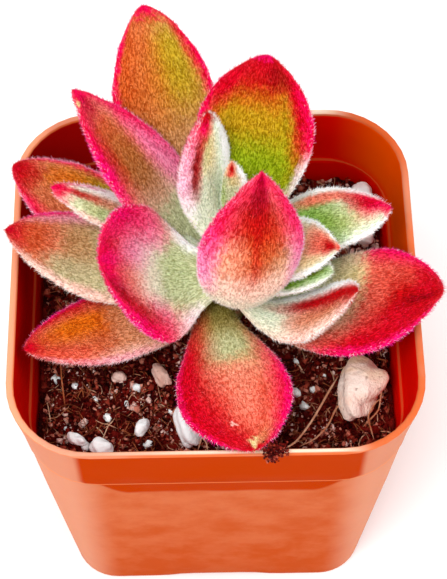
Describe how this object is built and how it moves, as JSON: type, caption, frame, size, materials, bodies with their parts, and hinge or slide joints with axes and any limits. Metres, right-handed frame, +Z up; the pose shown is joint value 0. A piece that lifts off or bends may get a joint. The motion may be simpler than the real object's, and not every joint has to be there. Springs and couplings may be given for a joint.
{
  "type": "potted succulent",
  "caption": "Rosette succulent with furry, fleshy, red-edged leaves, growing in gritty soil in a small square tapered nursery pot.",
  "frame": {"origin": "middle of the pot's flat underside", "axes": "+Z up, X and Y square to the pot's sides, -Y towards the leaf that lies over the front rim"},
  "size_m": [0.0592, 0.0613, 0.077],
  "materials": {
    "pot": "smooth satin",
    "soil": "rough, crumbly",
    "stem": "matt",
    "leaf_red": "velvety",
    "leaf_olive": "velvety",
    "leaf_pale": "velvety",
    "stone": "rough, pitted"
  },
  "bodies": {
    "root": {"pot": "pot", "soil": "soil", "peat_crumb_on_rim": "soil", "stem_and_roots": "stem", "pumice_front_right": "stone", "pumice_front_middle": "stone", "pumice_by_front_leaf": "stone", "perlite_at_front_rim": "stone", "perlite_front": "stone", "perlite_corner": "stone", "perlite_left": "stone", "pumice_back_right": "stone", "pumice_right": "stone", "leaf_crown": "leaf_red", "leaf_heart": "leaf_pale", "leaf_left_cupped": "leaf_red", "leaf_back_upright": "leaf_pale", "leaf_right_inner": "leaf_pale", "leaf_right_bud": "leaf_pale", "leaf_right_curled": "leaf_pale", "leaf_back_left": "leaf_red", "leaf_back_broad": "leaf_olive", "leaf_right_back": "leaf_pale", "leaf_left_young": "leaf_pale", "leaf_back_tall": "leaf_olive", "leaf_left": "leaf_olive", "leaf_right_broad": "leaf_red", "leaf_far_left": "leaf_red", "leaf_front": "leaf_red", "leaf_front_left": "leaf_red"}
  },
  "joints": []
}
